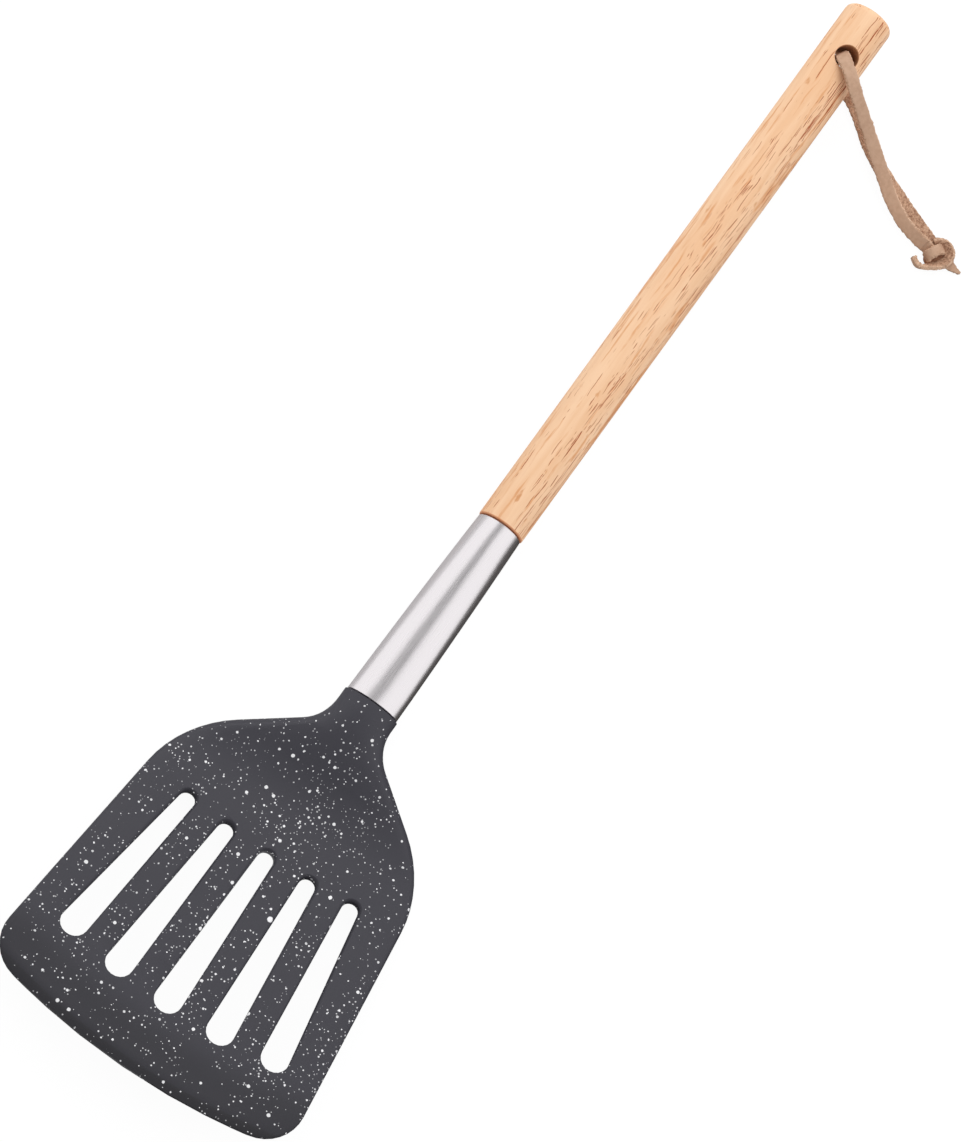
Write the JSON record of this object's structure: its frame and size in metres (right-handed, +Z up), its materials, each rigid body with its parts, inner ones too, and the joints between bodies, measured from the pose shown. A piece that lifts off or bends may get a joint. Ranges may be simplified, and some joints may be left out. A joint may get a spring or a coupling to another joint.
{
  "type": "slotted spatula",
  "caption": "Slotted turner with a flared, bent silicone blade, a steel ferrule swaged from oval to round, a turned wooden grip and a knotted leather hanging thong.",
  "frame": {"origin": "middle of the turner's footprint without the thong, on the worktop that it lies on", "axes": "+X along the turner from the blade to the grip's end, +Z up out of the blade's face, +Y to the left seen from the blade"},
  "size_m": [0.3884, 0.1123, 0.0206],
  "materials": {
    "silicone": "satin, with pale speckles",
    "core_plastic": "moulded",
    "steel": "fine satin",
    "wood": "sanded and oiled",
    "leather": "undyed, cut edges bare"
  },
  "bodies": {
    "turner": {"silicone_head": "silicone", "head_core": "core_plastic", "ferrule": "steel", "grip": "wood"},
    "thong": {"thong_front_strand": "leather", "thong_back_strand": "leather", "thong_knot": "leather"}
  },
  "joints": [
    {"name": "thong_swing", "type": "hinge", "parent": "turner", "child": "thong", "pos_m": [0.17706, 0.00283, 0.01074], "axis": [0, 0, 1], "range_deg": [-10, 65]}
  ]
}
